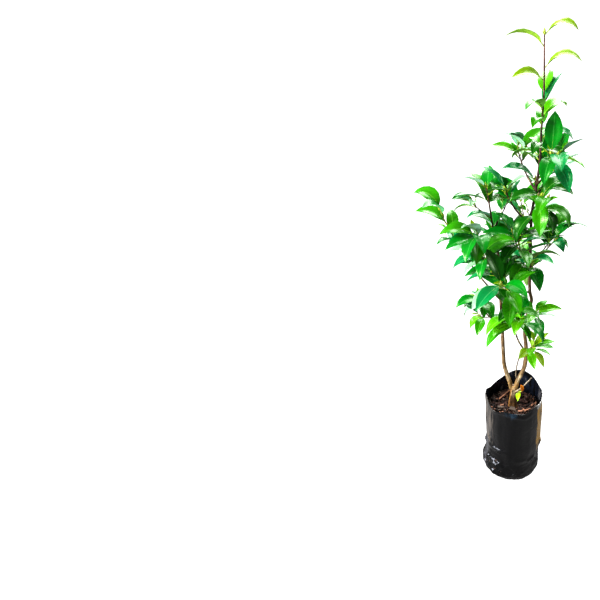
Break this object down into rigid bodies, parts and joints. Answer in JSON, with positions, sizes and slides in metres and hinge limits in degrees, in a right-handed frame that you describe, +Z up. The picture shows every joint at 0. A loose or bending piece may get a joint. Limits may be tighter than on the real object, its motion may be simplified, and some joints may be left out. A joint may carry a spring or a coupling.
{
  "type": "camellia shrub",
  "caption": "Young camellia shrub with two slim stems, side boughs and glossy pointed leaves, in a round black planter bag filled with potting mix.",
  "frame": {"origin": "centre of the flat underside of the planter bag, on the ground", "axes": "+Z up along the plant; +X and +Y level, with -Y towards the front, and the bag's side folds near +X and -X"},
  "size_m": [0.3496, 0.3918, 1.1102],
  "materials": {
    "bag_polythene": "glossy wrinkled black polythene film",
    "bark_chips": "rough dark composted bark chips",
    "old_bark": "smooth tan-brown bark with pale lichen flecks and fine cracks",
    "young_bark": "smooth red-brown young bark",
    "dead_wood": "dry, grey, weathered wood",
    "leaves": "glossy waxy dark green leaves with paler undersides and midribs",
    "young_leaves": "softer, yellow-green new leaves"
  },
  "bodies": {
    "root": {"bag": "bag_polythene", "bough_back_low": "young_bark", "bough_back_mid": "young_bark", "bough_far_left": "young_bark", "bough_front_low": "young_bark", "bough_front_right": "young_bark", "bough_inner_left": "young_bark", "bough_left_low": "young_bark", "bough_low_inner": "young_bark", "bough_mid_left": "young_bark", "bough_mid_right": "young_bark", "bough_upper_left": "young_bark", "bough_upper_right": "young_bark", "dead_stub": "dead_wood", "dead_twig": "dead_wood", "mass_back_left": "leaves", "mass_back_low": "leaves", "mass_back_mid": "leaves", "mass_behind_right": "leaves", "mass_far_left": "leaves", "mass_front_low": "leaves", "mass_front_right": "leaves", "mass_front_shoot": "leaves", "mass_inner_left": "leaves", "mass_leader_collar": "leaves", "mass_leader_top": "young_leaves", "mass_left_crown": "leaves", "mass_left_hang": "leaves", "mass_left_low": "leaves", "mass_left_wide": "leaves", "mass_low_inner": "leaves", "mass_low_right": "leaves", "mass_lowest_right": "young_leaves", "mass_mid_left": "leaves", "mass_mid_right": "leaves", "mass_short_right": "leaves", "mass_upper_left": "leaves", "mass_upper_right": "leaves", "mass_young_shoot": "young_leaves", "potting_mix": "bark_chips", "stem_left": "old_bark", "stem_right": "old_bark", "trunk": "old_bark"}
  },
  "joints": []
}
